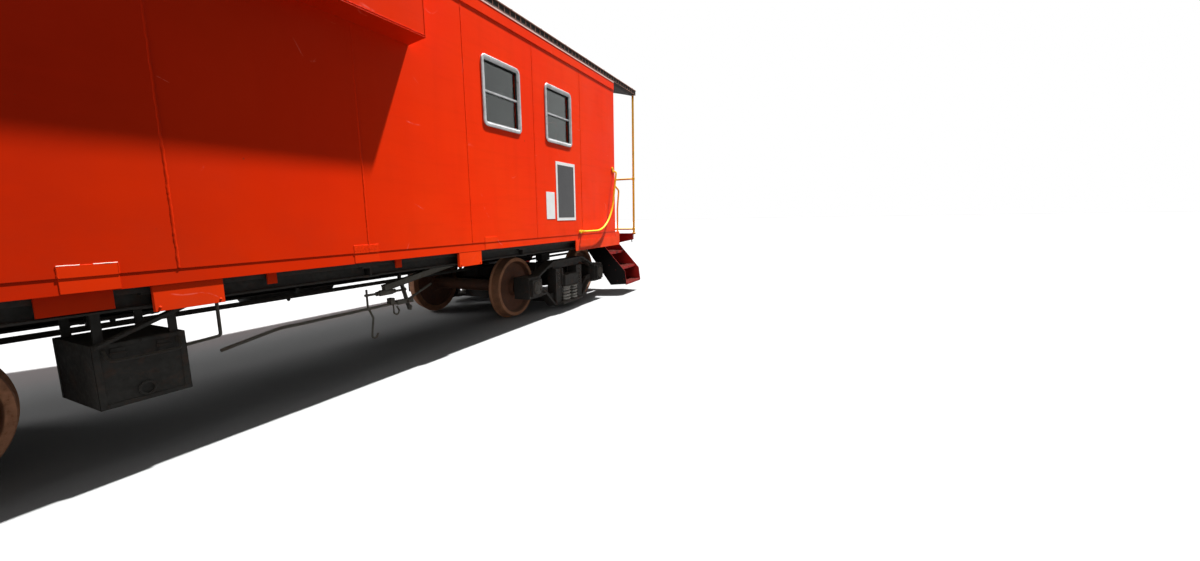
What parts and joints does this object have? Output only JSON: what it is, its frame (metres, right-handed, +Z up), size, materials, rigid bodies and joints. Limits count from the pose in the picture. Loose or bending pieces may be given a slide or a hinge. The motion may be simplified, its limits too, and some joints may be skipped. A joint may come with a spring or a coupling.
{
  "type": "wide vision caboose",
  "caption": "Railway caboose with a widened cupola, open end platforms with steps and railings, swivelling cast trucks, swinging couplers and hinged end doors.",
  "frame": {"origin": "centre of the length and width, on the plane of the wheel flange bottoms, 25.4 mm below the rail head", "axes": "+X along the car towards its front platform, +Y to its left, +Z up"},
  "size_m": [12.11, 3.342, 4.6222],
  "materials": {
    "red_body": "satin",
    "orange_red_plate": "satin",
    "dark_red_paint": "satin",
    "black_roof": "matte",
    "black_frame": "matte",
    "yellow_paint": "satin",
    "aluminium_trim": "satin",
    "glass": "gloss",
    "truck_casting": "matte",
    "spring_steel": "worn",
    "wheel_steel": "rusty",
    "cast_iron": "matte",
    "grey_interior": "satin",
    "seat_cover": "worn"
  },
  "bodies": {
    "car_body": {"centre_sill": "black_frame", "cross_members": "black_frame", "floor": "black_frame", "side_wall_right": "red_body", "side_wall_left": "red_body", "end_wall_front": "red_body", "end_wall_rear": "red_body", "roof": "black_roof", "cupola_sides": "red_body", "cupola_ends": "red_body", "cupola_roof": "black_roof", "window_frames": "aluminium_trim", "window_glass": "glass", "platform_front": "dark_red_paint", "platform_rear": "dark_red_paint", "steps_front": "dark_red_paint", "steps_rear": "dark_red_paint", "sill_plates": "orange_red_plate", "end_railing_front": "yellow_paint", "end_railing_rear": "yellow_paint", "end_ladder_front": "yellow_paint", "end_ladder_rear": "yellow_paint", "grab_irons": "yellow_paint", "hand_brake_housing": "black_frame", "equipment_box": "black_frame", "brake_equipment": "black_frame", "train_pipe": "black_frame", "smoke_jack": "black_frame", "cupola_lockers": "grey_interior", "cupola_seats": "seat_cover", "bunk": "grey_interior", "desk": "grey_interior", "stove": "cast_iron"},
    "truck_front": {"truck_front_side_frames": "truck_casting", "truck_front_bolster": "truck_casting", "truck_front_spring_plank": "truck_casting", "truck_front_springs": "spring_steel", "truck_front_brake_beams": "truck_casting"},
    "truck_rear": {"truck_rear_side_frames": "truck_casting", "truck_rear_bolster": "truck_casting", "truck_rear_spring_plank": "truck_casting", "truck_rear_springs": "spring_steel", "truck_rear_brake_beams": "truck_casting"},
    "wheelset_1": {"axle_1": "wheel_steel", "wheels_1": "wheel_steel"},
    "wheelset_2": {"axle_2": "wheel_steel", "wheels_2": "wheel_steel"},
    "wheelset_3": {"axle_3": "wheel_steel", "wheels_3": "wheel_steel"},
    "wheelset_4": {"axle_4": "wheel_steel", "wheels_4": "wheel_steel"},
    "door_front": {"door_front": "red_body", "door_glass_front": "glass"},
    "coupler_front": {"coupler_front": "truck_casting"},
    "knuckle_front": {"knuckle_front": "truck_casting"},
    "door_rear": {"door_rear": "red_body", "door_glass_rear": "glass"},
    "coupler_rear": {"coupler_rear": "truck_casting"},
    "knuckle_rear": {"knuckle_rear": "truck_casting"},
    "hand_brake_wheel": {"hand_brake_wheel": "yellow_paint"}
  },
  "joints": [
    {"name": "truck_front_swivel", "type": "hinge", "parent": "car_body", "child": "truck_front", "pos_m": [3.452, 0, 0.6754], "axis": [0, 0, 1], "range_deg": [-6, 6]},
    {"name": "truck_rear_swivel", "type": "hinge", "parent": "car_body", "child": "truck_rear", "pos_m": [-3.452, 0, 0.6754], "axis": [0, 0, 1], "range_deg": [-6, 6]},
    {"name": "wheelset_1_spin", "type": "hinge", "parent": "truck_front", "child": "wheelset_1", "pos_m": [4.4425, 0, 0.4445], "axis": [0, 1, 0], "continuous": true},
    {"name": "wheelset_2_spin", "type": "hinge", "parent": "truck_front", "child": "wheelset_2", "pos_m": [2.4615, 0, 0.4445], "axis": [0, 1, 0], "continuous": true},
    {"name": "wheelset_3_spin", "type": "hinge", "parent": "truck_rear", "child": "wheelset_3", "pos_m": [-2.4615, 0, 0.4445], "axis": [0, 1, 0], "continuous": true},
    {"name": "wheelset_4_spin", "type": "hinge", "parent": "truck_rear", "child": "wheelset_4", "pos_m": [-4.4425, 0, 0.4445], "axis": [0, 1, 0], "continuous": true},
    {"name": "door_front_hinge", "type": "hinge", "parent": "car_body", "child": "door_front", "pos_m": [4.495, -0.3265, 2.1054], "axis": [0, 0, 1], "range_deg": [0, 100]},
    {"name": "door_rear_hinge", "type": "hinge", "parent": "car_body", "child": "door_rear", "pos_m": [-4.495, 0.3265, 2.1054], "axis": [0, 0, 1], "range_deg": [0, 100]},
    {"name": "coupler_front_swing", "type": "hinge", "parent": "car_body", "child": "coupler_front", "pos_m": [5.3, 0, 0.9014], "axis": [0, 0, 1], "range_deg": [-7, 7]},
    {"name": "knuckle_front_hinge", "type": "hinge", "parent": "coupler_front", "child": "knuckle_front", "pos_m": [5.945, -0.092, 0.9014], "axis": [0, 0, 1], "range_deg": [-45, 0]},
    {"name": "coupler_rear_swing", "type": "hinge", "parent": "car_body", "child": "coupler_rear", "pos_m": [-5.3, 0, 0.9014], "axis": [0, 0, 1], "range_deg": [-7, 7]},
    {"name": "knuckle_rear_hinge", "type": "hinge", "parent": "coupler_rear", "child": "knuckle_rear", "pos_m": [-5.945, 0.092, 0.9014], "axis": [0, 0, 1], "range_deg": [-45, 0]},
    {"name": "hand_brake_spin", "type": "hinge", "parent": "car_body", "child": "hand_brake_wheel", "pos_m": [-5.339, 0.72, 1.7754], "axis": [1, 0, 0], "continuous": true}
  ]
}
